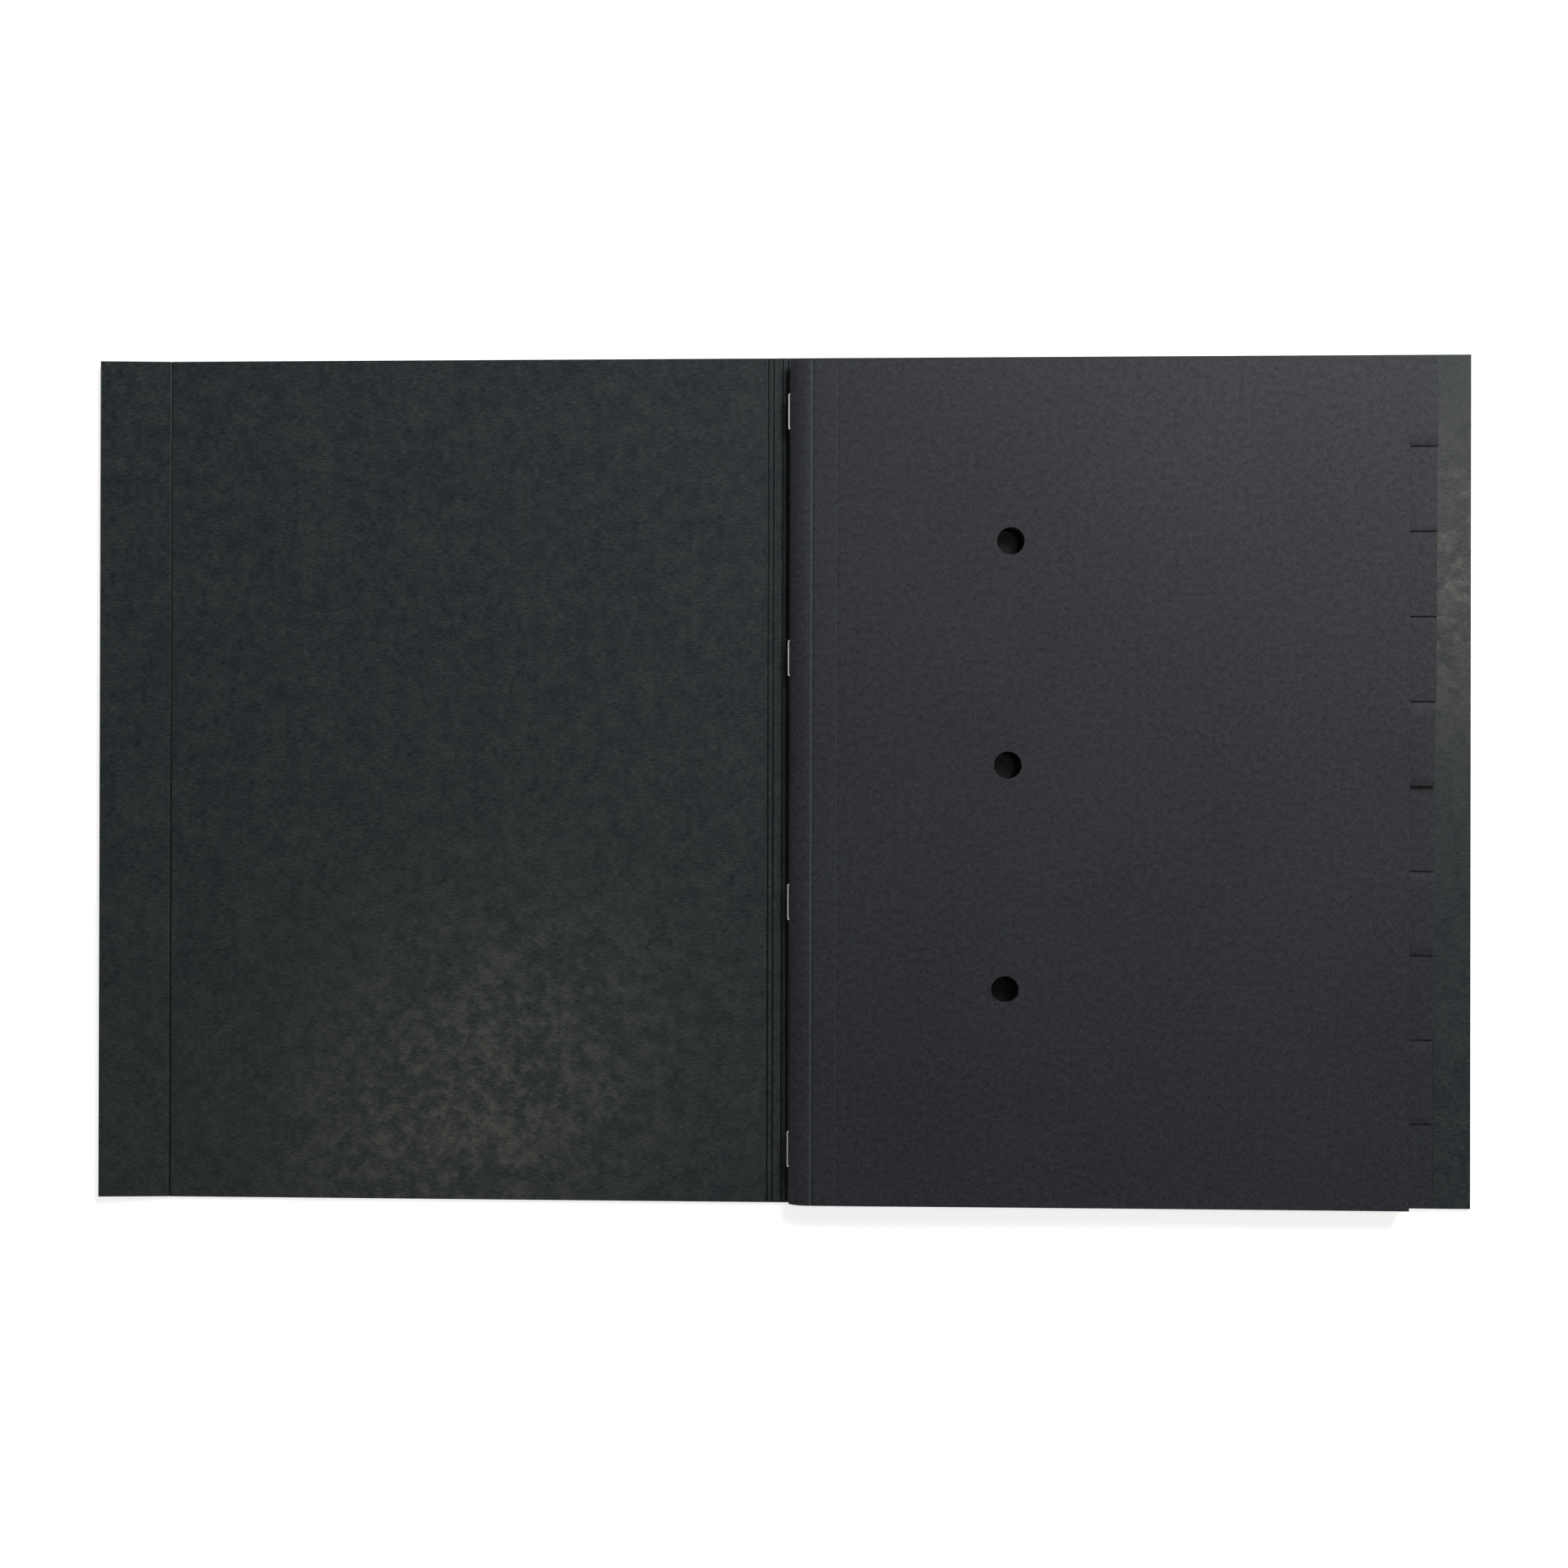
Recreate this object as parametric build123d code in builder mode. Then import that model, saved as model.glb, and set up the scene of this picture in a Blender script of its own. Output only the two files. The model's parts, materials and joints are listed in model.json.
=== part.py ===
"""Stapled A4 divider book: ten tabbed card leaves in an open pressboard cover.

Frame: the origin is at the centre of the open book's footprint, on the table.
+X runs from the spine to the fore edge of the back cover, +Y to the head of the
pages, +Z up.  Sizes are in millimetres and angles in degrees.
"""
import math
import os

from build123d import *

# Pressboard cover: one sheet with five creases, written as six hinged panels
COVER_H = 320.0
COVER_T = 0.6
PANEL_W = 256.0          # outer spine score to fore edge
OUTER_SCORE = 3.7        # distance of the outer scores from the spine centre line
INNER_SCORE = 1.7
FLAP_W = 27.0            # fore-edge flap of the front cover
FLAP_LIFT = 2.5          # the crease holds the flap slightly up at rest
KNUCKLE_R = 0.54         # round end of a panel, about its crease line
SOCKET_R = COVER_T       # hollow that the knuckle turns in

# Card leaves: five nested folded sheets make ten leaves
LEAF_COUNT = 10
CARD_T = 0.35
LEAF_PITCH = 0.45        # leaf to leaf, with the air between them
WIRE_ROOM = 0.64         # gap in the middle of the fold for the bent staple ends
LEAF_H = 317.5
LEAF_FOOT = -159.65      # the leaves sit a little low in the cover
LEAF_W = 228.0           # fold line to fore edge, without the tab
TAB_W = 10.4
TAB_PITCH = 31.6         # counted from the foot
HOLE_D = 10.3
HOLE_X = 79.4            # from the fold line to the viewing holes
HOLE_Y = 5.7             # middle hole
HOLE_SPACING = 84.0
HOLE_LEAN = 0.0113       # the row of holes is punched slightly off parallel

# Fold line and the room around it
PASTE_T = 0.1
FOLD_X = 7.0
OUTER_FOLD_R = WIRE_ROOM / 2 + (LEAF_COUNT / 2 - 1) * LEAF_PITCH + CARD_T
FOLD_Z = COVER_T + PASTE_T + OUTER_FOLD_R
CORE_R = 3.3             # folds and staples stay inside this radius
TURN_R = 3.45            # turning leaves stay outside this radius

# Wire staples
STAPLE_Y = (139.0, 46.0, -46.0, -139.0)
WIRE_D = 0.6
CROWN_L = 13.0           # between the centres of the two legs
CLINCH_L = 5.2           # bent-in end of each leg
CROWN_GAP = 0.1
BEND_R = 0.35
LEG_HOLE_D = 0.7

# Paste under the last leaf
PASTE_MARGIN = 3.0
PASTE_HOLE_D = 16.0

LEAF_MID = LEAF_FOOT + LEAF_H / 2
TURN_EDGE_X = FOLD_X + LEAF_W
FLAP_CREASE_X = -OUTER_SCORE - PANEL_W + FLAP_W


def save(part, name):
    """Label one finished piece and write it to its own file."""
    part.label = name
    export_step(part, "parts/" + name + ".step")


def cover_panel(right_x, width, knuckle=True, socket=True, lift=0.0):
    """One flat zone of the cover, to the left of the line x = right_x.

    The sketch origin is the crease line on the inner face.  The right end can
    carry a round knuckle and the left end a hollow for the next panel's knuckle.
    """
    slope = math.radians(lift)
    section = Plane(
        origin=(right_x, 0, COVER_T),
        x_dir=(math.cos(slope), 0, -math.sin(slope)),
        z_dir=(0, -1, 0),
    )
    with BuildPart() as panel:
        with BuildSketch(section):
            with Locations((-width / 2, -COVER_T / 2)):
                Rectangle(width, COVER_T)
            if knuckle:
                with BuildLine():
                    CenterArc((0, 0), KNUCKLE_R, -90, 90)
                    Polyline((KNUCKLE_R, 0), (0, 0), (0, -KNUCKLE_R))
                make_face()
            if socket:
                with Locations((-width, 0)):
                    Circle(SOCKET_R, mode=Mode.SUBTRACT)
        extrude(amount=COVER_H / 2, both=True)
    return panel.part


def hole_centres():
    """Plan positions of the three viewing holes."""
    centres = []
    for step in (1, 0, -1):
        y = HOLE_Y + step * HOLE_SPACING
        centres.append((FOLD_X + HOLE_X + HOLE_LEAN * (y - HOLE_Y), y))
    return centres


def leaf_offset(number):
    """Height of a leaf's middle plane above the fold line; leaf 1 is on top."""
    layer = number if number <= LEAF_COUNT // 2 else LEAF_COUNT + 1 - number
    height = WIRE_ROOM / 2 + CARD_T / 2 + (LEAF_COUNT // 2 - layer) * LEAF_PITCH
    return height if number <= LEAF_COUNT // 2 else -height


def divider(number):
    """One leaf with its index tab and viewing holes, up to the turning radius."""
    low_z = FOLD_Z + leaf_offset(number) - CARD_T / 2
    tab_low = LEAF_FOOT + TAB_PITCH * (LEAF_COUNT - number)
    tab_high = LEAF_FOOT + LEAF_H if number == 1 else tab_low + TAB_PITCH
    with BuildPart() as leaf:
        with BuildSketch(Plane.XY.offset(low_z)):
            with Locations((FOLD_X + LEAF_W / 2, LEAF_MID)):
                Rectangle(LEAF_W, LEAF_H)
            with Locations((TURN_EDGE_X + TAB_W / 2, (tab_low + tab_high) / 2)):
                Rectangle(TAB_W, tab_high - tab_low)
            with Locations(*hole_centres()):
                Circle(HOLE_D / 2, mode=Mode.SUBTRACT)
        extrude(amount=CARD_T)
        with BuildSketch(Plane.XZ.offset(-LEAF_MID)):
            with Locations((FOLD_X, FOLD_Z)):
                Circle(TURN_R)
        extrude(amount=LEAF_H, both=True, mode=Mode.SUBTRACT)
    return leaf.part


def sheet_fold(layer):
    """The bent middle of one folded sheet; layer 1 is the outermost sheet."""
    outer = OUTER_FOLD_R - (layer - 1) * LEAF_PITCH
    inner = outer - CARD_T
    section = Plane(origin=(FOLD_X, LEAF_MID, FOLD_Z), x_dir=(1, 0, 0), z_dir=(0, -1, 0))
    with BuildPart() as fold:
        with BuildSketch(section):
            Circle(outer)
            with Locations((CORE_R / 2, 0)):
                Rectangle(CORE_R, 2 * outer)
            Circle(inner, mode=Mode.SUBTRACT)
            with Locations((CORE_R / 2, 0)):
                Rectangle(CORE_R, 2 * inner, mode=Mode.SUBTRACT)
            Circle(CORE_R, mode=Mode.INTERSECT)
        extrude(amount=LEAF_H / 2, both=True)
        with BuildSketch(Plane.YZ.offset(FOLD_X)):
            with Locations(*leg_positions()):
                Circle(LEG_HOLE_D / 2)
        extrude(amount=-CORE_R, mode=Mode.SUBTRACT)
    return fold.part


def leg_positions():
    """Where the staple legs pass through the fold, as (y, z)."""
    return [(y + side * CROWN_L / 2, FOLD_Z) for y in STAPLE_Y for side in (1, -1)]


def staple(y):
    """A wire staple: crown outside the fold, legs through it, ends bent in."""
    crown_x = FOLD_X - OUTER_FOLD_R - CROWN_GAP - WIRE_D / 2
    clinch_x = FOLD_X + BEND_R
    half = CROWN_L / 2
    with BuildPart() as wire:
        with BuildLine(Plane.XY.offset(FOLD_Z)):
            path = FilletPolyline(
                (clinch_x, y + half - CLINCH_L),
                (clinch_x, y + half),
                (crown_x, y + half),
                (crown_x, y - half),
                (clinch_x, y - half),
                (clinch_x, y - half + CLINCH_L),
                radius=BEND_R,
            )
        with BuildSketch(Plane(origin=path @ 0, z_dir=path % 0)):
            Circle(WIRE_D / 2)
        sweep(path=path)
    return wire.part


def paste_film():
    """Thin paste film between the last leaf and the back cover."""
    left_x = FOLD_X + TURN_R + PASTE_MARGIN
    right_x = TURN_EDGE_X - PASTE_MARGIN
    with BuildPart() as film:
        with BuildSketch(Plane.XY.offset(COVER_T)):
            with Locations(((left_x + right_x) / 2, LEAF_MID)):
                Rectangle(right_x - left_x, LEAF_H - 2 * PASTE_MARGIN)
            with Locations(*hole_centres()):
                Circle(PASTE_HOLE_D / 2, mode=Mode.SUBTRACT)
        extrude(amount=PASTE_T)
    return film.part


os.makedirs("parts", exist_ok=True)

back_cover = cover_panel(OUTER_SCORE + PANEL_W, PANEL_W, knuckle=False)
save(back_cover, "back_cover")
save(cover_panel(OUTER_SCORE, OUTER_SCORE - INNER_SCORE), "spine_strip_back")
save(cover_panel(INNER_SCORE, 2 * INNER_SCORE), "spine_strip_middle")
save(cover_panel(-INNER_SCORE, OUTER_SCORE - INNER_SCORE), "spine_strip_front")
save(cover_panel(-OUTER_SCORE, PANEL_W - FLAP_W), "front_cover")
save(cover_panel(FLAP_CREASE_X, FLAP_W, socket=False, lift=FLAP_LIFT), "front_cover_flap")

for number in range(1, LEAF_COUNT + 1):
    save(divider(number), f"divider_{number:02d}")

for layer in range(1, LEAF_COUNT // 2 + 1):
    save(sheet_fold(layer), f"sheet_fold_{layer}")

for number, y in enumerate(STAPLE_Y, start=1):
    save(staple(y), f"staple_{number}")

save(paste_film(), "paste_film")

for number in (1, LEAF_COUNT):
    print("leaf", number, "middle plane z", round(FOLD_Z + leaf_offset(number), 3))
print("fold line z", round(FOLD_Z, 3), "flap crease x", FLAP_CREASE_X)
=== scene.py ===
"""Looks of the stapled divider book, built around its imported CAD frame.  Metres."""

import json
import math
import random

import bpy
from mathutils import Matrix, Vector, geometry


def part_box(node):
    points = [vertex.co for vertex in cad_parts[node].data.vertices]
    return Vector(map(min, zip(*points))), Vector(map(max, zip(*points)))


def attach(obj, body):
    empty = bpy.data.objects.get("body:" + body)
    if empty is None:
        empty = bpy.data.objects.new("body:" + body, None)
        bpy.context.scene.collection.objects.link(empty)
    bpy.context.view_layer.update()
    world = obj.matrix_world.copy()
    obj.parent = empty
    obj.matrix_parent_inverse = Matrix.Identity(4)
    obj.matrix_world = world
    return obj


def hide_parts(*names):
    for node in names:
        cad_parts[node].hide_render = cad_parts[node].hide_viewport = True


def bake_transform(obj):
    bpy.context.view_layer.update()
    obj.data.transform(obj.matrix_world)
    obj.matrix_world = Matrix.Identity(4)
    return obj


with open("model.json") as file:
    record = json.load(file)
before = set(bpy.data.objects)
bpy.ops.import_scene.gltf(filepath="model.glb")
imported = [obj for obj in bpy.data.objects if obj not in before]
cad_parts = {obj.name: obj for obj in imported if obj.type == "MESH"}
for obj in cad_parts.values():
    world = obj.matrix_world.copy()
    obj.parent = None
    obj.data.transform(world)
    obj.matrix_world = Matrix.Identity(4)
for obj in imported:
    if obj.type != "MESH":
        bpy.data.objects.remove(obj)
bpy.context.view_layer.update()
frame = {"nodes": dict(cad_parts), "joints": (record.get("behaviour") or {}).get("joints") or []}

MM = 0.001
JOINTS = {joint["name"]: joint for joint in frame["joints"]}
LEAF_COUNT = 10
STAPLE_COUNT = 4

# Places taken from the frame
FOLD_X, _, FOLD_Z = JOINTS["turn_09"]["pos_m"]
SCORES = [JOINTS[name]["pos_m"][0] for name in (
    "spine_back_crease", "spine_middle_crease", "spine_front_crease", "front_cover_crease")]
FLAP_CREASE = JOINTS["flap_hinge"]["pos_m"][0]
BOARD_TOP = JOINTS["flap_hinge"]["pos_m"][2]
BACK_LOW, BACK_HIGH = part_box("back_cover")
FRONT_EDGE = -BACK_HIGH.x    # the open cover is symmetric about X = 0
LEAF_LOW, LEAF_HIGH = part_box("divider_01")
CARD_T = LEAF_HIGH.z - LEAF_LOW.z
STACK_R = LEAF_HIGH.z - FOLD_Z
LEAF_PITCH = LEAF_LOW.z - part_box("divider_02")[0].z

# Leaf plan, from the fold line
TAB_W = 10.4 * MM
TAB_PITCH = 31.6 * MM
HOLE_R = 5.15 * MM
HOLE_X = 79.4 * MM
HOLE_Y = 5.7 * MM
HOLE_SPACING = 84.0 * MM
HOLE_LEAN = 0.0113
LEAF_CREASES = (5.6 * MM, 14.9 * MM)
LEAF_EDGE_X = LEAF_HIGH.x - TAB_W
FIRST_TAB_FOOT = LEAF_LOW.y + TAB_PITCH * (LEAF_COUNT - 1)
TURN_R = 3.4 * MM        # where a leaf piece meets its fold piece

# The fold rises from its crest to the first crease
FOLD_RUN = LEAF_CREASES[0] / STACK_R
FOLD_POWER = 0.68        # 0.5 is an ellipse; more slopes down sooner

random.seed(41)
SHORTFALL = [0.0] + [random.uniform(0.0, 0.35) * MM for _ in range(LEAF_COUNT - 2)] + [0.0]

EDGE_ROLL = 0.045 * MM   # the cutter presses the fore edge down
EDGE_ROLL_W = 0.45 * MM
WAVE_DEPTH = 0.45 * MM   # how far the top leaf sags between its high places
FLAP_LIFT = math.radians(2.5)

# How closely the meshes are divided
BOARD_STEP = 8 * MM
LEAF_STEP = 7 * MM
SHARP_ANGLE = math.radians(40)
HOLE_SIDES = 72
RING_SIDES = 48
RING_GAP = 0.6 * MM      # from a hole to the ring of points about it
HOLE_ROOM = 1.1 * MM     # no other points lie this near a hole
TINY = 1e-7


# ---------------------------------------------------------------- plan

def hole_list():
    holes = []
    for step in (1, 0, -1):
        y = HOLE_Y + step * HOLE_SPACING
        holes.append((FOLD_X + HOLE_X + HOLE_LEAN * (y - HOLE_Y), y, HOLE_R))
    return holes


# ---------------------------------------------------------------- mesh code

def spread(start, end, step):
    """Evenly spaced values from start to end, about one step apart."""
    count = max(1, round(abs(end - start) / step))
    return [start + (end - start) * i / count for i in range(count + 1)]


def around(centre, reach, count):
    """Values close together about a crease."""
    return [centre + reach * i / count for i in range(-count, count + 1)]


def merged(exact, *groups, gap=0.04 * MM):
    """Sorted values: every exact one, and those of the groups that are not too near."""
    kept = sorted(set(exact))
    for value in sorted(value for group in groups for value in group):
        if all(abs(value - other) > gap for other in kept):
            kept.append(value)
    return sorted(kept)


def finish_mesh(name, points, faces, uvs, slots, materials):
    """Make an object with smooth faces, sharp rims and the rest-position UV layer."""
    mesh = bpy.data.meshes.new(name)
    mesh.from_pydata(points, [], faces)
    layer = mesh.uv_layers.new(name="rest")
    flat = [value for face_uv in uvs for uv in face_uv for value in uv]
    layer.data.foreach_set("uv", flat)
    mesh.polygons.foreach_set("material_index", slots)
    mesh.polygons.foreach_set("use_smooth", [True] * len(faces))
    for material in materials:
        mesh.materials.append(material)
    mesh.validate()
    mesh.update()
    mesh.set_sharp_from_angle(angle=SHARP_ANGLE)
    piece = bpy.data.objects.new(name, mesh)
    bpy.context.scene.collection.objects.link(piece)
    return piece


def in_areas(x, y, areas, margin=0.0):
    return any(a[0] - margin < x < a[2] + margin and a[1] - margin < y < a[3] + margin
               for a in areas)


def near_hole(x, y, holes, room=0.0):
    return any(math.hypot(x - cx, y - cy) < r + room for cx, cy, r in holes)


def add_hole_rings(points, edges, holes):
    """Add two rings of points about every hole, and the edges of the inner one."""
    for cx, cy, r in holes:
        for ring, sides in ((r, HOLE_SIDES), (r + RING_GAP, RING_SIDES)):
            first = len(points)
            for i in range(sides):
                turn = math.tau * i / sides
                points.append((cx + ring * math.cos(turn), cy + ring * math.sin(turn)))
            if ring == r:
                edges += [(first + i, first + (i + 1) % sides) for i in range(sides)]


def add_outlines(points, edges, areas, columns, rows):
    """Add the edges of every rectangle, from point to point along its sides."""
    lookup = {(round(x, 7), round(y, 7)): i for i, (x, y) in enumerate(points)}
    for low_x, low_y, high_x, high_y in areas:
        xs = [x for x in columns if low_x - TINY < x < high_x + TINY]
        ys = [y for y in rows if low_y - TINY < y < high_y + TINY]
        for y in (low_y, high_y):
            line = [lookup[(round(x, 7), round(y, 7))] for x in xs]
            edges += list(zip(line, line[1:]))
        for x in (low_x, high_x):
            line = [lookup[(round(x, 7), round(y, 7))] for y in ys]
            edges += list(zip(line, line[1:]))


def triangulated(areas, holes, columns, rows):
    """Triangles of a plan made of upright rectangles, with round holes cut out.

    areas are (low x, low y, high x, high y), side by side along X; every corner
    lies on a column and a row.  The triangulation itself is done in millimetres.
    """
    points = [(x, y) for x in columns for y in rows
              if in_areas(x, y, areas, TINY) and not near_hole(x, y, holes, HOLE_ROOM)]
    edges = []
    add_hole_rings(points, edges, holes)
    add_outlines(points, edges, areas, columns, rows)
    scaled = [Vector((x / MM, y / MM)) for x, y in points]
    found, _, faces, _, _, _ = geometry.delaunay_2d_cdt(scaled, edges, [], 0, 1e-5)
    plan = [(p.x * MM, p.y * MM) for p in found]
    kept = []
    for face in faces:
        x = sum(plan[i][0] for i in face) / len(face)
        y = sum(plan[i][1] for i in face) / len(face)
        if in_areas(x, y, areas) and not near_hole(x, y, holes):
            kept.append(tuple(face))
    return plan, kept


def thin_sheet(name, areas, holes, columns, rows, top, bottom, materials, bend=None):
    """A closed thin sheet between two height functions, with its cut rim.

    In the rest layer the underside is moved aside, so its grain differs from the top's.
    """
    plan, triangles = triangulated(areas, holes, columns, rows)
    count = len(plan)
    points = [(x, y, top(x, y)) for x, y in plan] + [(x, y, bottom(x, y)) for x, y in plan]
    faces = list(triangles) + [tuple(i + count for i in reversed(t)) for t in triangles]
    slots = [0] * len(faces)
    directed = {(t[i], t[(i + 1) % 3]) for t in triangles for i in range(3)}
    rims = [(a, a + count, b + count, b) for a, b in directed if (b, a) not in directed]
    rims.sort()
    faces += rims
    slots += [1] * len(rims)
    underside_shift = 0.7
    uvs = []
    for face, slot in zip(faces, slots):
        if slot:
            uvs.append([(points[i][0] + points[i][2], points[i][1] + points[i][2]) for i in face])
        elif face[0] < count:
            uvs.append([(points[i][0], points[i][1]) for i in face])
        else:
            uvs.append([(points[i][0] + underside_shift, points[i][1]) for i in face])
    if bend:
        points = [bend(*point) for point in points]
    return finish_mesh(name, points, faces, uvs, slots, materials)


# ---------------------------------------------------------------- materials

class Graph:
    """A short way to write shader nodes: add() takes values or other nodes."""

    def __init__(self, name):
        self.material = bpy.data.materials.new(name)
        self.material.use_nodes = True
        self.tree = self.material.node_tree
        self.shader = self.tree.nodes["Principled BSDF"]

    def add(self, kind, settings=None, out=0, **sockets):
        node = self.tree.nodes.new("ShaderNode" + kind)
        for key, value in (settings or {}).items():
            setattr(node, key, value)
        for key, value in sockets.items():
            self.feed(node, int(key[1:]) if key[0] == "i" and key[1:].isdigit() else key, value)
        return node.outputs[out]

    def feed(self, node, key, value):
        if isinstance(value, bpy.types.NodeSocket):
            self.tree.links.new(value, node.inputs[key])
        else:
            node.inputs[key].default_value = value

    def principled(self, **sockets):
        for key, value in sockets.items():
            self.feed(self.shader, key.replace("_", " "), value)
        return self.material

    def rest(self, scale=(1.0, 1.0, 1.0), turn=0.0):
        """Coordinates in metres on the flat sheet, stretched and turned."""
        uv = self.add("UVMap", {"uv_map": "rest"})
        return self.add("Mapping", Vector=uv, Scale=scale, Rotation=(0.0, 0.0, turn))

    def noise(self, vector, scale, detail=3.0, roughness=0.5, distortion=0.0):
        return self.add("TexNoise", Vector=vector, Scale=scale, Detail=detail,
                        Roughness=roughness, Distortion=distortion)

    def ramp(self, value, low, high, to_low=0.0, to_high=1.0):
        return self.add("MapRange", {"interpolation_type": "SMOOTHSTEP"}, Value=value,
                        i1=low, i2=high, i3=to_low, i4=to_high)

    def swing(self, noise, to_low, to_high):
        """Noise, which seldom leaves 0.3 to 0.7, spread from one value to another."""
        return self.ramp(noise, 0.3, 0.7, to_low, to_high)

    def math(self, operation, a, b):
        return self.add("Math", {"operation": operation}, i0=a, i1=b)

    def distance(self, value, place):
        """How far a coordinate is from a place."""
        return self.math("ABSOLUTE", self.math("SUBTRACT", value, place), 0.0)

    def mix(self, factor, a, b):
        return self.add("Mix", {"data_type": "RGBA"}, out=2, i0=factor, i6=a, i7=b)

    def tint(self, colour, value):
        """A colour made lighter or darker by a value about 1."""
        return self.add("VectorMath", {"operation": "SCALE"}, out=0, i0=colour, Scale=value)

    def bump(self, height, strength, distance):
        return self.add("Bump", Strength=strength, Distance=distance, Height=height)


def rgba(red, green, blue):
    return (red, green, blue, 1.0)


BOARD_COLOUR = rgba(0.0435, 0.0568, 0.0650)
BOARD_FLECK = rgba(0.0570, 0.0650, 0.0660)
CARD_COLOUR = (0.0385, 0.0438, 0.0545)
CARD_FIBRE = rgba(0.10, 0.10, 0.105)
FIBRE_H = 0.05 * MM      # height of fibres for the bump

# Lines painted in the materials (painted shade in the scores, painted shadows at the tabs, crease
# lines partly painted highlight): full strength nearer than the first distance, none beyond the second
SCORE_SHADE_LINE = (0.18 * MM, 0.50 * MM)
TIP_SHADOW_LINE = (0.15 * MM, 0.40 * MM)
WEAR_AND_SHADING_LINE = (0.15 * MM, 0.6 * MM)
ROOT_SHADOW_LINE = (0.12 * MM, 0.30 * MM)
CREASE_WEAR_AND_SHADING = (0.95, 0.22)


def pressboard_material():
    """Dyed pressboard: level fibres, smudges of shade and shine, and painted shade in the score lines
    and the flap crease.

    It also has painted shade under the holes of the leaves and a painted shadow beside the tips of
    their tabs.
    """
    g = Graph("pressboard_dark")
    flat = g.rest()
    smudges = g.math("ADD", g.math("MULTIPLY", g.noise(flat, 170.0, 8.0, 0.66), 0.75),
                     g.math("MULTIPLY", g.noise(flat, 48.0, 3.0, 0.55), 0.25))
    shine = g.ramp(smudges, 0.38, 0.66)
    fibres = g.noise(g.rest((1.0, 4.0, 1.0)), 430.0, 4.0, 0.7)
    shade = g.math("ADD", g.swing(fibres, -0.42, 0.42), g.ramp(smudges, 0.35, 0.65, 0.80, 1.20))
    colour = g.mix(shine, BOARD_COLOUR, BOARD_FLECK)
    # Painted shade on the board at the floor of each leaf hole.
    for x, y, radius in hole_list():
        off = g.add("VectorMath", {"operation": "DISTANCE"}, out=1, i0=flat, i1=(x, y, 0.0))
        shade = g.math("MULTIPLY", shade, g.ramp(off, radius, 1.6 * radius, 0.3, 1.0))
    rough = g.math("ADD", g.ramp(shine, 0.0, 1.0, 0.38, 0.25), g.swing(fibres, 0.03, -0.03))
    across = g.add("SeparateXYZ", Vector=flat)
    # Painted shade along the score lines and the flap crease.
    for crease in [FLAP_CREASE, *SCORES]:
        off = g.distance(across, crease)
        shade = g.math("MULTIPLY", shade, g.ramp(off, *SCORE_SHADE_LINE, 0.15, 1.0))
    # Painted shadow of the tab tips on the back board.
    off = g.distance(across, LEAF_HIGH.x + TIP_SHADOW_LINE[0])
    shade = g.math("MULTIPLY", shade, g.ramp(off, *TIP_SHADOW_LINE, 0.35, 1.0))
    return g.principled(Base_Color=g.tint(colour, shade), Roughness=rough, IOR=1.5,
                        Normal=g.bump(fibres, 0.15, FIBRE_H))


def card_material():
    """Black index card: matte, with a fine felt grain, pale fibres, and crease lines made pale partly
    by worn fibres and partly as painted highlight, with painted shade beside them.

    A painted shadow line marks the foot of the tabs, where the first leaf has no tab.
    """
    g = Graph("leaf_card_black")
    flat = g.rest()
    cloud = g.noise(flat, 14.0, 2.0, 0.5)
    grain = g.noise(g.rest((2.2, 1.0, 1.0)), 800.0, 4.0, 0.7)
    felt = g.noise(flat, 420.0, 5.0, 0.7)
    shade = g.math("ADD", g.swing(grain, -0.42, 0.42), g.swing(cloud, 0.95, 1.05))
    shade = g.math("ADD", shade, g.swing(felt, -0.26, 0.26))
    across = g.add("SeparateXYZ", Vector=flat)
    # Pale line at each crease, partly worn fibres and partly painted highlight, with painted shade
    # just beside it.
    for crease, wear_and_shading in zip(LEAF_CREASES, CREASE_WEAR_AND_SHADING):
        off = g.distance(across, FOLD_X + crease)
        shade = g.math("ADD", shade, g.ramp(off, *WEAR_AND_SHADING_LINE, wear_and_shading, 0.0))
        off = g.distance(across, FOLD_X + crease + 0.9 * MM)
        shade = g.math("SUBTRACT", shade, g.ramp(off, *WEAR_AND_SHADING_LINE, 0.3 * wear_and_shading, 0.0))
    # Painted shadow of the leaf edge above, at the foot of each tab below the first tab.
    off = g.distance(across, LEAF_EDGE_X + ROOT_SHADOW_LINE[0])
    along = g.add("SeparateXYZ", out=1, Vector=flat)
    below_tab = g.ramp(along, FIRST_TAB_FOOT - 0.3 * MM, FIRST_TAB_FOOT, 0.55, 0.0)
    shade = g.math("SUBTRACT", shade, g.math("MULTIPLY", g.ramp(off, *ROOT_SHADOW_LINE, 1.0, 0.0), below_tab))
    cells = g.add("TexVoronoi", Vector=g.rest((1.6, 1.0, 1.0)), Scale=420.0)
    spots = g.ramp(cells, 0.10, 0.22, 1.0, 0.0)
    chosen = g.ramp(g.noise(flat, 260.0, 2.0), 0.54, 0.62)
    pale = g.math("MULTIPLY", g.math("MULTIPLY", spots, chosen), 0.4)
    colour = g.mix(pale, g.tint(CARD_COLOUR, shade), CARD_FIBRE)
    height = g.math("ADD", grain, g.math("MULTIPLY", felt, 0.8))
    return g.principled(Base_Color=colour, Roughness=g.swing(felt, 0.66, 0.56),
                        IOR=1.45, Normal=g.bump(height, 0.4, FIBRE_H))


def rim_material(name, colour):
    """Cut edge of card or board: rough, paler, with layered fibres."""
    g = Graph(name)
    layers = g.noise(g.rest(turn=0.8), 1500.0, 3.0, 0.6)
    shade = g.tint(colour, g.swing(layers, 0.7, 1.35))
    return g.principled(Base_Color=shade, Roughness=0.85, Normal=g.bump(layers, 0.5, FIBRE_H))


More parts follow.
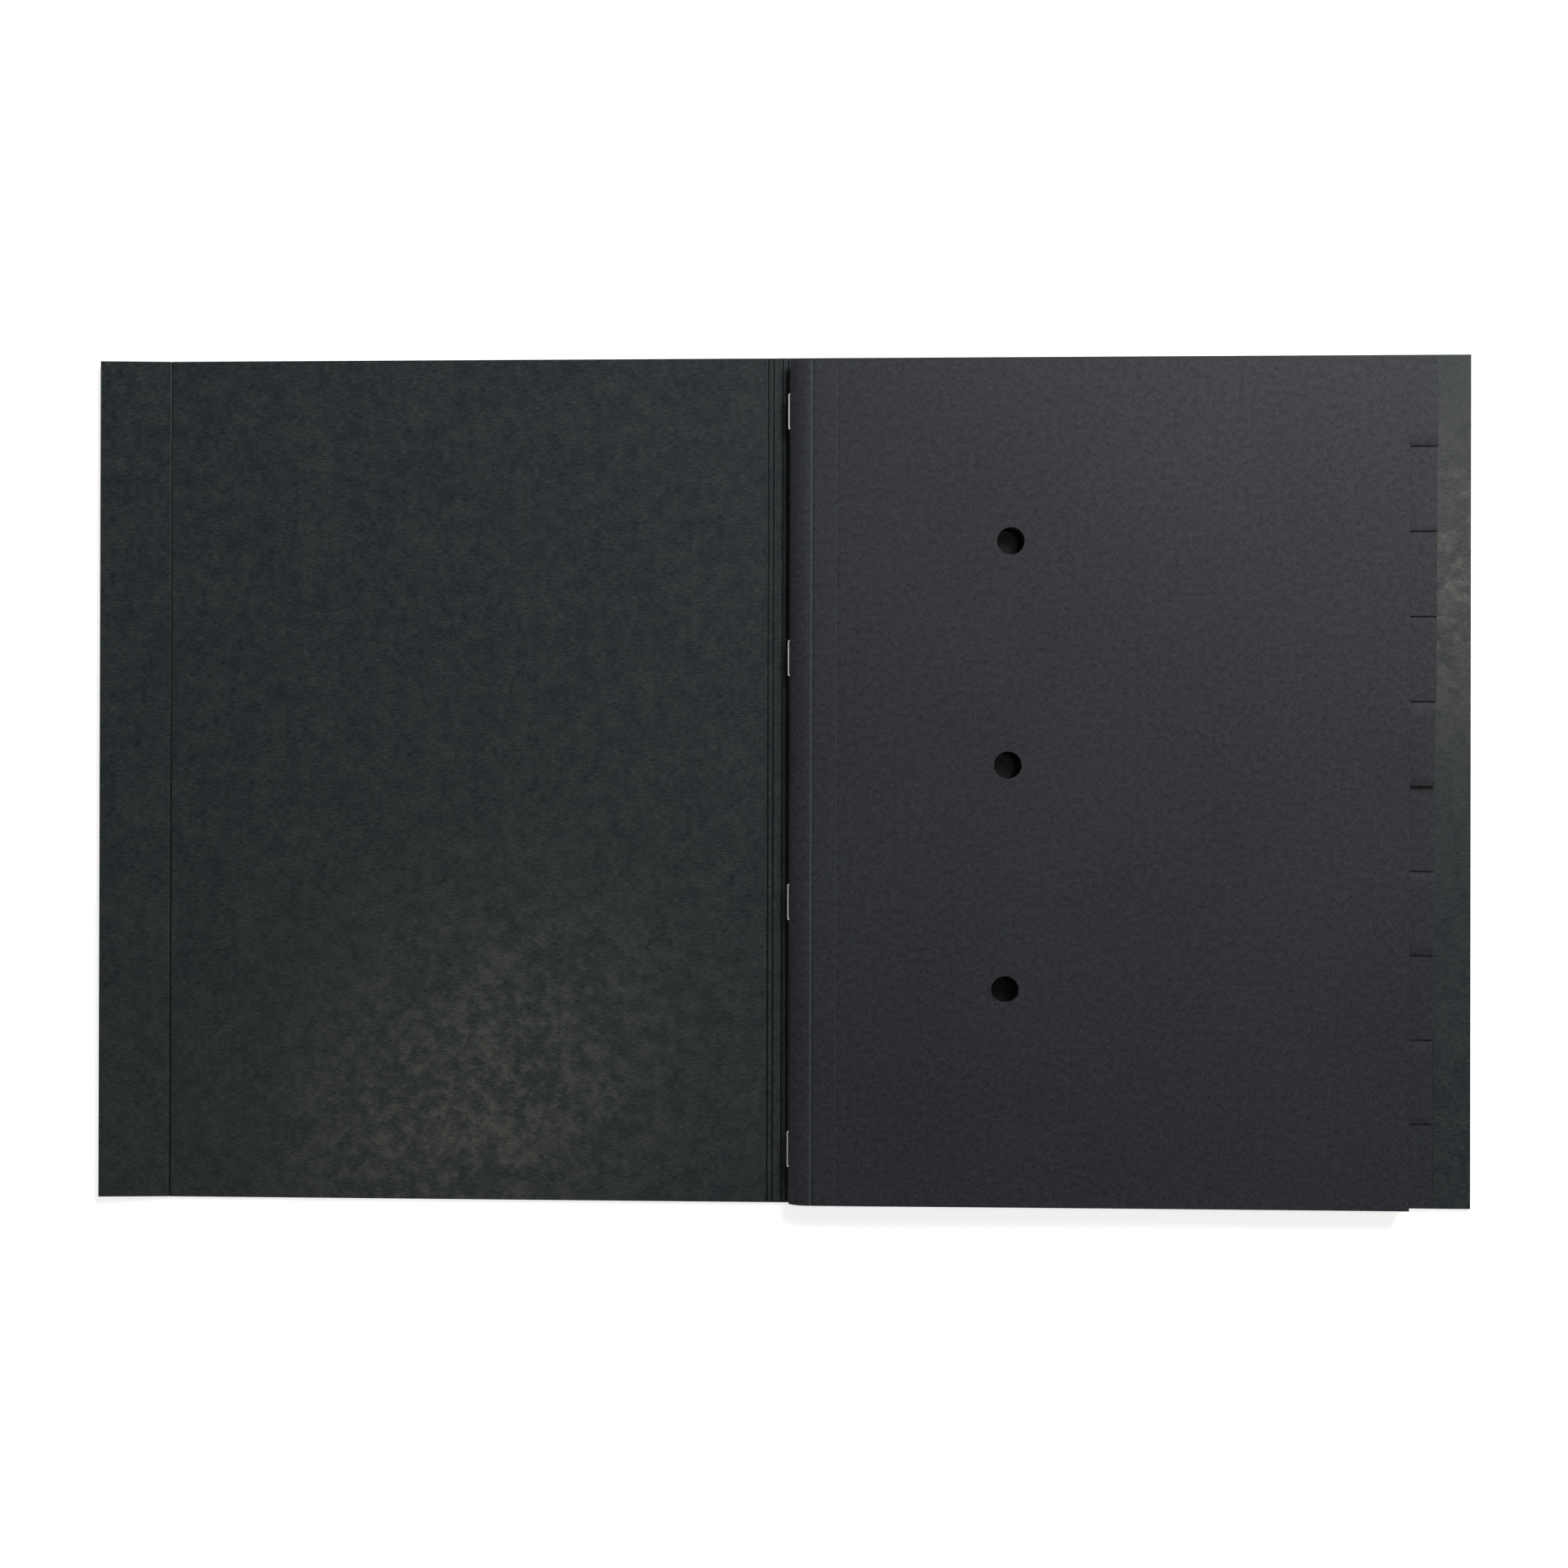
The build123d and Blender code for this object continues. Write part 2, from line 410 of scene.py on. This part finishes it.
def steel_material():
    """Bright galvanised wire with draw lines and faint dull spots."""
    g = Graph("staple_wire_bright")
    lines = g.noise(g.rest((6000.0, 200.0, 1.0)), 1.0, 3.0, 0.6)
    spots = g.noise(g.rest(), 900.0, 3.0, 0.6)
    colour = g.mix(g.ramp(spots, 0.45, 0.7), rgba(0.90, 0.90, 0.87), rgba(0.78, 0.78, 0.76))
    rough = g.math("ADD", g.ramp(spots, 0.4, 0.7, 0.36, 0.5), g.swing(lines, -0.03, 0.05))
    return g.principled(Base_Color=colour, Metallic=0.5, Roughness=rough,
                        Normal=g.bump(lines, 0.2, 0.02 * MM))


def paste_material():
    """Dried paste, seen only at the edge of the last leaf."""
    g = Graph("paste_dry")
    lumps = g.noise(g.add("TexCoord", out=3), 800.0, 3.0)
    colour = g.mix(lumps, rgba(0.03, 0.03, 0.031), rgba(0.05, 0.05, 0.05))
    return g.principled(Base_Color=colour, Roughness=0.6, Normal=g.bump(lumps, 0.3, 0.03 * MM))


PRESSBOARD = pressboard_material()
BOARD_RIM = rim_material("pressboard_rim", (0.045, 0.046, 0.044))
CARD = card_material()
CARD_RIM = rim_material("card_rim", (0.045, 0.045, 0.048))
STEEL = steel_material()


# ---------------------------------------------------------------- cover

SCORE_DEPTH = 0.24 * MM
SCORE_W = 0.24 * MM
LIP_H = 0.035 * MM
FLAP_SCORE_DEPTH = 0.34 * MM
FLAP_SCORE_W = 0.26 * MM
CREASE_ZONE = 0.55 * MM  # a crease bends this far to either side
SCORE_REACH = 1.2 * MM   # and its mesh is finer this far
JOIN_REACH = 1.8 * MM    # flat board left of and right of the outer scores


def crease_dip(distance, depth=SCORE_DEPTH, width=SCORE_W, lip_height=LIP_H):
    """Height change across a pressed crease: a groove with raised lips."""
    groove = -depth * math.exp(-(distance / width) ** 2)
    lip = lip_height * math.exp(-((abs(distance) - 2.1 * width) / (0.9 * width)) ** 2)
    return groove + lip


def board_top(x, y):
    height = BOARD_TOP + sum(crease_dip(x - score) for score in SCORES)
    return height + crease_dip(x - FLAP_CREASE, FLAP_SCORE_DEPTH, FLAP_SCORE_W, 0.0)


def board_bottom(x, y):
    return BACK_LOW.z


def lift_flap(x, y, z):
    """Turn the points beyond the flap crease up about it, easing in at the crease."""
    beyond = FLAP_CREASE - x
    if beyond <= -CREASE_ZONE:
        return (x, y, z)
    ease = min(1.0, (beyond + CREASE_ZONE) / (2 * CREASE_ZONE))
    angle = FLAP_LIFT * ease * ease * (3 - 2 * ease)
    rise = z - BOARD_TOP
    return (
        FLAP_CREASE - beyond * math.cos(angle) + rise * math.sin(angle),
        y,
        BOARD_TOP + beyond * math.sin(angle) + rise * math.cos(angle),
    )


def board_piece(name, low_x, high_x, creases, bend=None):
    """One stretch of the cover sheet, full height."""
    low_y, high_y = BACK_LOW.y, BACK_HIGH.y
    near_creases = [x for c in creases for x in around(c, SCORE_REACH, 16) if low_x < x < high_x]
    columns = merged([low_x, high_x], spread(low_x, high_x, BOARD_STEP), near_creases)
    rows = spread(low_y, high_y, BOARD_STEP)
    return thin_sheet(name, [(low_x, low_y, high_x, high_y)], [], columns, rows,
                      board_top, board_bottom, [PRESSBOARD, BOARD_RIM], bend)


def make_cover():
    """The back board, the four creases of the spine, and the front board with its flap."""
    bodies = ["back_half", "spine_strip_back", "spine_strip_middle", "spine_strip_front",
              "front_cover"]
    middles = [(a + b) / 2 for a, b in zip(SCORES, SCORES[1:])]
    joins = [SCORES[0] + JOIN_REACH, *middles, SCORES[-1] - JOIN_REACH]

    back = board_piece("back_board", joins[0], BACK_HIGH.x, [])
    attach(back, "back_half")
    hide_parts("back_cover")

    for i, score in enumerate(SCORES):
        crease = board_piece(f"spine_crease_{i + 1}", joins[i + 1], joins[i], [score])
        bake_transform(crease)
        if i < len(SCORES) - 1:
            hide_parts(bodies[i + 1])

    front = board_piece("front_board", FRONT_EDGE, joins[-1], [FLAP_CREASE], lift_flap)
    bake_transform(front)
    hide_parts("front_cover", "front_cover_flap")


# ---------------------------------------------------------------- leaves

def fold_share(v):
    """Height of a folded sheet at v radii from the fold line, as a share of its radius.

    One curve scaled for every sheet, so the nested sheets never meet.
    """
    if v >= FOLD_RUN:
        return 1.0
    return max(0.0, 1 - ((FOLD_RUN - v) / (FOLD_RUN + 1)) ** 2) ** FOLD_POWER


BEAD_DEPTHS = (0.09 * MM, 0.05 * MM)
RIDGE_W = 0.40 * MM
HOLLOW_W = 1.2 * MM


def leaf_bead(u):
    """The pressed creases of a leaf: a fine ridge in a shallow hollow, none of it above the leaf."""
    height = 0.0
    for crease, depth in zip(LEAF_CREASES, BEAD_DEPTHS):
        ridge = math.exp(-((u - crease) / RIDGE_W) ** 2)
        hollow = math.exp(-((u - crease) / HOLLOW_W) ** 2)
        height += depth * (ridge - hollow)
    return height


def leaf_wave(x, y):
    """Gentle sag of the stacked leaves, zero at the fold, from 0 down to -1."""
    u = x - FOLD_X
    ease = min(1.0, max(0.0, (u - LEAF_CREASES[0]) / (60 * MM)))
    wave = 0.5 + 0.28 * math.sin(17 * x + 9 * y) + 0.22 * math.sin(23 * y - 11 * x + 1.3)
    return -ease * ease * (3 - 2 * ease) * wave


def sheet_radii(number):
    """Signed heights of a leaf's upper and lower face from the fold line."""
    layer = min(number, LEAF_COUNT + 1 - number)
    outer = STACK_R - (layer - 1) * LEAF_PITCH
    inner = outer - CARD_T
    return (outer, inner) if number <= LEAF_COUNT // 2 else (-inner, -outer)


def leaf_plan(number):
    """A leaf's fore edge and tab: edge x, tip x, tab foot y, tab head y."""
    low = LEAF_LOW.y + TAB_PITCH * (LEAF_COUNT - number)
    high = LEAF_HIGH.y if number == 1 else low + TAB_PITCH
    return LEAF_EDGE_X - SHORTFALL[number - 1], LEAF_HIGH.x - SHORTFALL[number - 1], low, high


def leaf_face(radius, number):
    """Height function of one face of one leaf."""
    sag = WAVE_DEPTH * (LEAF_COUNT - number) / (LEAF_COUNT - 1)
    edge, tip, tab_low, tab_high = leaf_plan(number)

    def height(x, y):
        u = x - FOLD_X
        curve = radius * fold_share(u / abs(radius))
        cut = tip if tab_low < y < tab_high else edge
        roll = min(1.0, max(0.0, 1 - (cut - x) / EDGE_ROLL_W))
        drop = EDGE_ROLL * roll * roll
        return FOLD_Z + curve + leaf_bead(u) + sag * leaf_wave(x, y) - drop
    return height


def seam_x(number):
    """Where the leaf piece starts, at the turning radius about the fold line."""
    middle = sum(abs(r) for r in sheet_radii(number)) / 2
    u = TURN_R
    for _ in range(12):
        u = math.sqrt(TURN_R ** 2 - (middle * fold_share(u / middle)) ** 2)
    return FOLD_X + u


def make_leaf(number):
    """One leaf from its seam to its fore edge, with its stepped index tab."""
    corner = 0.15 * MM
    foot, head = LEAF_LOW.y, LEAF_HIGH.y
    edge, tip, tab_low, tab_high = leaf_plan(number)
    start = seam_x(number)
    columns = merged(
        [start, edge, tip],
        spread(start, FOLD_X + LEAF_CREASES[0], 0.3 * MM),
        *[around(FOLD_X + c, 1.8 * MM, 12) for c in LEAF_CREASES],
        spread(FOLD_X + LEAF_CREASES[1] + 2 * MM, edge, LEAF_STEP),
        *[spread(cut - EDGE_ROLL_W, cut, EDGE_ROLL_W / 4) for cut in (edge, tip)],
        spread(edge, tip, 3 * MM),
    )
    near_tab = [tab_low - corner, tab_low + corner, tab_high - corner, tab_high + corner]
    rows = merged([tab_low, tab_high, foot, head], [y for y in near_tab if foot < y < head],
                  spread(foot, head, LEAF_STEP), gap=0.1 * MM)
    upper, lower = sheet_radii(number)
    name = f"divider_{number:02d}"
    leaf = thin_sheet(name + "_card",
                      [(start, foot, edge, head), (edge, tab_low, tip, tab_high)],
                      hole_list(), columns, rows,
                      leaf_face(upper, number), leaf_face(lower, number), [CARD, CARD_RIM])
    if number == LEAF_COUNT:
        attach(leaf, "back_half")
    else:
        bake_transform(leaf)
    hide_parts(name)


def fold_profile(radius, seam):
    """Points of one side of a folded sheet, from its upper seam round to its lower one."""
    u_seam = (seam - FOLD_X) / radius
    reach = (FOLD_RUN - u_seam) / (FOLD_RUN + 1)
    first = math.asin(max(-1.0, min(1.0, reach)))
    steps = 22
    upper = []
    if u_seam > FOLD_RUN:
        upper.append((seam - FOLD_X, radius))
        first = 0.0
    for i in range(steps + 1):
        turn = first + (math.pi / 2 - first) * i / steps
        v = FOLD_RUN - (FOLD_RUN + 1) * math.sin(turn)
        upper.append((v * radius, radius * math.cos(turn) ** (2 * FOLD_POWER)))
    lower = [(u, -z) for u, z in reversed(upper[:-1])]
    return upper + lower


def fold_outline(layer, seam):
    """A folded sheet seen from its foot: the outer profile, then the inner one back."""
    outer_r, inner_r = sheet_radii(layer)
    outer, inner = fold_profile(outer_r, seam), fold_profile(inner_r, seam)
    if len(inner) > len(outer):
        outer.insert(0, outer[0])
        outer.append(outer[-1])
    return outer + inner[::-1]


def fold_skin(line, rows, seam):
    """Faces along the fold, on its outside, its inside and its two seams, and their rest UVs."""
    count = len(line)
    arc = [0.0]
    for a, b in zip(line, line[1:]):
        arc.append(arc[-1] + math.hypot(b[0] - a[0], b[1] - a[1]))
    faces, uvs = [], []
    for j in range(len(rows) - 1):
        for i in range(count):
            k = (i + 1) % count
            if line[i] == line[k]:
                continue
            faces.append((j * count + i, (j + 1) * count + i, (j + 1) * count + k, j * count + k))
            end = arc[i] + (arc[k] - arc[i] if k else CARD_T)
            uvs.append([(seam - arc[i], rows[j]), (seam - arc[i], rows[j + 1]),
                        (seam - end, rows[j + 1]), (seam - end, rows[j])])
    return faces, uvs


def fold_ends(line, last_row, points):
    """Cut faces at the foot and the head of the fold, and their rest UVs."""
    count = len(line)
    faces, uvs = [], []
    for j in (0, last_row):
        for i in range(count // 2 - 1):
            outer = j * count + i
            inner = (j + 1) * count - 1 - i
            face = [outer, outer + 1, inner - 1, inner]
            if line[i] == line[i + 1]:
                face = [outer, inner - 1, inner]
            if j:
                face.reverse()
            faces.append(tuple(face))
            uvs.append([(points[v][0] + points[v][2], points[v][1] + points[v][2]) for v in face])
    return faces, uvs


def make_fold(layer):
    """The bent middle of one folded sheet, between the seams of its two leaves."""
    seam = seam_x(layer)
    line = fold_outline(layer, seam)
    rows = spread(LEAF_LOW.y, LEAF_HIGH.y, LEAF_STEP)
    points = [(FOLD_X + u, y, FOLD_Z + z + leaf_bead(u)) for y in rows for u, z in line]
    skin, skin_uvs = fold_skin(line, rows, seam)
    ends, end_uvs = fold_ends(line, len(rows) - 1, points)
    slots = [0] * len(skin) + [1] * len(ends)
    fold = finish_mesh(f"sheet_fold_{layer}_card", points, skin + ends, skin_uvs + end_uvs, slots,
                       [CARD, CARD_RIM])
    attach(fold, "back_half")
    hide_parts(f"sheet_fold_{layer}")


# ---------------------------------------------------------------- staples

CLINCH_L = 5.2 * MM
WIRE_BEND_R = 0.36 * MM
WIRE_TIP_L = 0.35        # chamfered end, as a share of the wire's radius
WIRE_TIP_W = 0.6


def rounded_path(corners, radius, steps=8):
    """A path of straight runs with round corners, as a list of points."""
    path = [Vector(corners[0])]
    for before, corner, after in zip(corners, corners[1:], corners[2:]):
        corner = Vector(corner)
        to_start = (Vector(before) - corner).normalized()
        to_end = (Vector(after) - corner).normalized()
        centre = corner + (to_start + to_end) * radius
        for i in range(steps + 1):
            turn = (math.pi / 2) * i / steps
            path.append(centre - to_end * radius * math.cos(turn) - to_start * radius * math.sin(turn))
    path.append(Vector(corners[-1]))
    return path


def wire_rings(path, radius):
    """Centre, direction and share of the full width of every ring, with chamfered ends."""
    rings = []
    for i, point in enumerate(path):
        before, after = path[max(0, i - 1)], path[min(len(path) - 1, i + 1)]
        rings.append((point, (after - before).normalized(), 1.0))
    tip = radius * WIRE_TIP_L
    rings.insert(0, (path[0] - rings[0][1] * tip, rings[0][1], WIRE_TIP_W))
    rings.append((path[-1] + rings[-1][1] * tip, rings[-1][1], WIRE_TIP_W))
    return rings


def wire(name, path, radius, sides=20):
    """A closed wire along a flat path in the XY plane."""
    points, uvs_at = [], []
    length = 0.0
    rings = wire_rings(path, radius)
    for i, (point, along, width) in enumerate(rings):
        if i:
            length += (point - rings[i - 1][0]).length
        across = Vector((along.y, -along.x, 0.0))
        for k in range(sides):
            turn = math.tau * k / sides
            offset = across * math.cos(turn) + Vector((0, 0, 1)) * math.sin(turn)
            points.append(tuple(point + offset * radius * width))
            uvs_at.append((k / sides * math.tau * radius, length))
    faces, uvs = [], []
    for i in range(len(rings) - 1):
        for k in range(sides):
            n = (k + 1) % sides
            quad = (i * sides + k, i * sides + n, (i + 1) * sides + n, (i + 1) * sides + k)
            faces.append(quad)
            uvs.append([uvs_at[v] for v in quad])
    last = (len(rings) - 1) * sides
    for ring in (tuple(range(sides))[::-1], tuple(range(last, last + sides))):
        faces.append(ring)
        uvs.append([uvs_at[v] for v in ring])
    return finish_mesh(name, points, faces, uvs, [0] * len(faces), [STEEL])


def make_staple(number):
    """One staple: a straight crown, legs into the fold, ends bent in."""
    low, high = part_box(f"staple_{number}")
    radius = (high.z - low.z) / 2
    z = (low.z + high.z) / 2
    crown_x = low.x + radius
    clinch_x = high.x - radius
    leg = (high.y - low.y) / 2 - radius
    y = (low.y + high.y) / 2
    corners = [(clinch_x, y + leg - CLINCH_L, z), (clinch_x, y + leg, z), (crown_x, y + leg, z),
               (crown_x, y - leg, z), (clinch_x, y - leg, z), (clinch_x, y - leg + CLINCH_L, z)]
    piece = wire(f"staple_{number}_wire", rounded_path(corners, WIRE_BEND_R), radius)
    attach(piece, "back_half")
    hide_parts(f"staple_{number}")


make_cover()
for number in range(1, LEAF_COUNT + 1):
    make_leaf(number)
for layer in range(1, LEAF_COUNT // 2 + 1):
    make_fold(layer)
for number in range(1, STAPLE_COUNT + 1):
    make_staple(number)
frame["nodes"]["paste_film"].data.materials.clear()
frame["nodes"]["paste_film"].data.materials.append(paste_material())


# ---------------------------------------------------------------- stage

WARM = (1.0, 0.92, 0.80)
WARMER = (1.0, 0.96, 0.73)


def area_light(name, place, target, size, energy, colour=(1.0, 1.0, 1.0)):
    """A soft rectangular light that faces a point."""
    data = bpy.data.lights.new(name, "AREA")
    data.shape = "RECTANGLE"
    data.size, data.size_y = size
    data.energy = energy
    data.color = colour
    lamp = bpy.data.objects.new(name, data)
    lamp.location = place
    lamp.rotation_euler = (Vector(target) - Vector(place)).to_track_quat("-Z", "Y").to_euler()
    bpy.context.scene.collection.objects.link(lamp)


FLOOR_LEVEL = -0.2 * MM
FLOOR_GLOW = 0.76
WALL_GLOW = 0.11
WALL_FADE = 0.5          # height at which the wall has reached its dimmer shade
FLOOR_WHITE = rgba(0.90, 0.90, 0.90)
WALL_GREY = rgba(0.50, 0.50, 0.50)
WORLD_GLOW = 0.002
SWEEP = ((3.2, 0.0), (3.5, 0.06), (3.75, 0.22), (3.92, 0.48), (4.0, 0.8), (4.0, 1.9))


def stage_material():
    """White floor that fades to a grey wall, slightly aglow."""
    g = Graph("floor_white")
    height = g.add("SeparateXYZ", out=2, Vector=g.add("TexCoord", out=3))
    glow = g.ramp(height, 0.0, WALL_FADE, FLOOR_GLOW, WALL_GLOW)
    white = g.mix(g.ramp(height, 0.0, WALL_FADE), FLOOR_WHITE, WALL_GREY)
    return g.principled(Base_Color=white, Roughness=0.8,
                        Emission_Color=rgba(1.0, 1.0, 1.0), Emission_Strength=glow)


def make_stage():
    """A round studio: floor, a curved sweep and a low wall."""
    sides = 96
    points = [(0.0, 0.0, FLOOR_LEVEL)]
    for reach, rise in SWEEP:
        for i in range(sides):
            turn = math.tau * i / sides
            points.append((reach * math.cos(turn), reach * math.sin(turn), FLOOR_LEVEL + rise))
    faces = [(0, 1 + i, 1 + (i + 1) % sides) for i in range(sides)]
    for ring in range(len(SWEEP) - 1):
        low = 1 + ring * sides
        for i in range(sides):
            k = (i + 1) % sides
            faces.append((low + i, low + sides + i, low + sides + k, low + k))
    mesh = bpy.data.meshes.new("floor")
    mesh.from_pydata(points, [], faces)
    mesh.polygons.foreach_set("use_smooth", [True] * len(faces))
    floor = bpy.data.objects.new("floor", mesh)
    bpy.context.scene.collection.objects.link(floor)
    mesh.materials.append(stage_material())


def make_light():
    """A faint world, a soft key from the head, and two sheens that the boards mirror."""
    world = bpy.data.worlds.new("studio")
    world.use_nodes = True
    world.node_tree.nodes["Background"].inputs["Color"].default_value = rgba(1.0, 1.0, 1.0)
    world.node_tree.nodes["Background"].inputs["Strength"].default_value = WORLD_GLOW
    bpy.context.scene.world = world

    area_light("key", (0.60, 1.00, 0.64), (0.0, 0.0, 0.0), (0.8, 0.4), 13.5)
    area_light("back_sheen", (0.73, 0.25, 1.0), (0.24, 0.06, 0.0), (0.20, 0.60), 1.23, WARM)
    area_light("front_sheen", (-0.365, -0.35, 1.0), (-0.12, -0.1, 0.0), (0.20, 0.32), 0.28, WARMER)
    bpy.context.scene.view_settings.view_transform = "Standard"


CAMERA_PLACE = (0.01442, -0.00224, 0.49580)
CAMERA_TURN = (0.0016, 0.0240, 0.0022)


def make_camera():
    """A wide lens straight above the book, a touch out of square."""
    data = bpy.data.cameras.new("camera")
    data.lens = 30.0
    data.sensor_width = 36.0
    data.clip_start = 0.01
    camera = bpy.data.objects.new("camera", data)
    camera.location = CAMERA_PLACE
    camera.rotation_euler = CAMERA_TURN
    bpy.context.scene.collection.objects.link(camera)
    bpy.context.scene.camera = camera


make_stage()
make_light()
make_camera()
